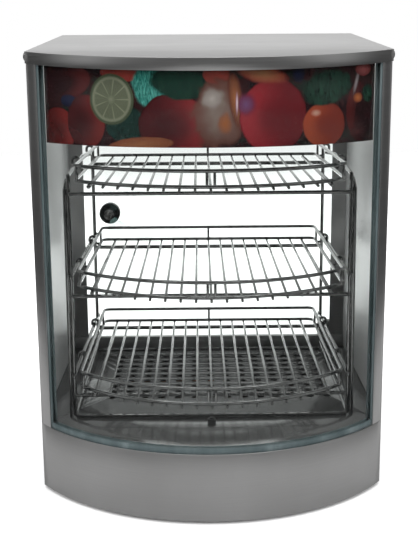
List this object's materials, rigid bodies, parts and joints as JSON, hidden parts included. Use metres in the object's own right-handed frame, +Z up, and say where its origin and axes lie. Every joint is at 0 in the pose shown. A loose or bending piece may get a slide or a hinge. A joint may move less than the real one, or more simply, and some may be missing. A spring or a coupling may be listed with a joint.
{
  "type": "hot food display case",
  "caption": "Countertop heated food display case with a bowed glass front, wire shelves on a rack, a printed header panel and a rear glass door.",
  "frame": {"origin": "centre of the case's floor area, at the bottom of the rubber feet", "axes": "+Z up, -Y towards the customer and the bowed glass front, +X to the customer's right"},
  "size_m": [0.3982, 0.5826, 0.5183],
  "materials": {
    "brushed_steel": "brushed",
    "polished_steel": "satin",
    "steel_fittings": "polished",
    "chromed_wire": "polished",
    "front_glass": "clear",
    "door_glass": "clear",
    "clear_seal": "gloss",
    "printed_panel": "gloss",
    "rubber": "matte",
    "black_plastic": "satin",
    "magnet": "matte",
    "aluminised_steel": "satin",
    "heater_tube": "oxidised",
    "copper": "satin",
    "ceramic": "matte",
    "lamp_glass": "clear",
    "wire_insulation": "satin",
    "amber_lens": "gloss",
    "red_plastic": "gloss",
    "green_plastic": "gloss",
    "cord_rubber": "satin",
    "cord_tie": "satin",
    "brass_pins": "polished"
  },
  "bodies": {
    "cabinet": {"base_skirt": "brushed_steel", "bottom_plate": "brushed_steel", "rear_control_panel": "brushed_steel", "rubber_feet": "rubber", "foot_screws": "steel_fittings", "deck": "polished_steel", "rear_sill": "brushed_steel", "rear_header": "brushed_steel", "left_side_panel": "brushed_steel", "right_side_panel": "brushed_steel", "front_glass": "front_glass", "bottom_glass_seal": "clear_seal", "side_glass_seals": "clear_seal", "graphic_panel": "printed_panel", "ceiling_panel": "brushed_steel", "top_lid": "brushed_steel", "lid_screws": "steel_fittings", "lamp_holder": "ceramic", "lamp_bulb": "lamp_glass", "heater_pan": "aluminised_steel", "heater_element": "heater_tube", "heater_clips": "steel_fittings", "thermostat_body": "black_plastic", "thermostat_bulb": "copper", "dial_plate": "black_plastic", "terminal_block": "ceramic", "internal_wiring": "wire_insulation", "pilot_lamp": "amber_lens", "heater_switch_body": "black_plastic", "light_switch_body": "black_plastic", "hinge_brackets": "steel_fittings", "door_magnet": "magnet", "rack_left_frame": "chromed_wire", "rack_right_frame": "chromed_wire", "rack_cross_wires": "chromed_wire", "rack_retainer": "black_plastic", "panel_screws": "steel_fittings", "strain_relief": "cord_rubber", "power_cord": "cord_rubber", "cord_coil": "cord_rubber", "cord_tie": "cord_tie", "plug_body": "cord_rubber", "plug_pins": "brass_pins"},
    "door": {"door_glass": "door_glass", "door_hinge_clamps": "steel_fittings", "door_clamp_screws": "steel_fittings", "door_knob": "black_plastic", "door_knob_screw": "steel_fittings", "door_strike_plate": "steel_fittings"},
    "bottom_shelf": {"bottom_shelf_frame": "chromed_wire", "bottom_shelf_rods": "chromed_wire"},
    "middle_shelf": {"middle_shelf_frame": "chromed_wire", "middle_shelf_rods": "chromed_wire"},
    "top_shelf": {"top_shelf_frame": "chromed_wire", "top_shelf_rods": "chromed_wire"},
    "thermostat_dial": {"thermostat_knob": "black_plastic", "thermostat_shaft": "steel_fittings"},
    "heater_rocker": {"heater_rocker": "red_plastic"},
    "light_rocker": {"light_rocker": "green_plastic"}
  },
  "joints": [
    {"name": "door_hinge", "type": "hinge", "parent": "cabinet", "child": "door", "pos_m": [0.1885, 0.1971, 0.3], "axis": [0, 0, -1], "range_deg": [0, 110]},
    {"name": "bottom_shelf_lift", "type": "slide", "parent": "cabinet", "child": "bottom_shelf", "axis": [0, 0, 1], "range_m": [0, 0.03]},
    {"name": "middle_shelf_lift", "type": "slide", "parent": "cabinet", "child": "middle_shelf", "axis": [0, 0, 1], "range_m": [0, 0.03]},
    {"name": "top_shelf_lift", "type": "slide", "parent": "cabinet", "child": "top_shelf", "axis": [0, 0, 1], "range_m": [0, 0.03]},
    {"name": "thermostat_turn", "type": "hinge", "parent": "cabinet", "child": "thermostat_dial", "pos_m": [-0.07, 0.2, 0.04], "axis": [0, -1, 0], "range_deg": [0, 270]},
    {"name": "heater_switch_rock", "type": "hinge", "parent": "cabinet", "child": "heater_rocker", "pos_m": [0.015, 0.19, 0.04], "axis": [1, 0, 0], "range_deg": [0, 20]},
    {"name": "light_switch_rock", "type": "hinge", "parent": "cabinet", "child": "light_rocker", "pos_m": [0.05, 0.19, 0.04], "axis": [1, 0, 0], "range_deg": [0, 20]}
  ]
}
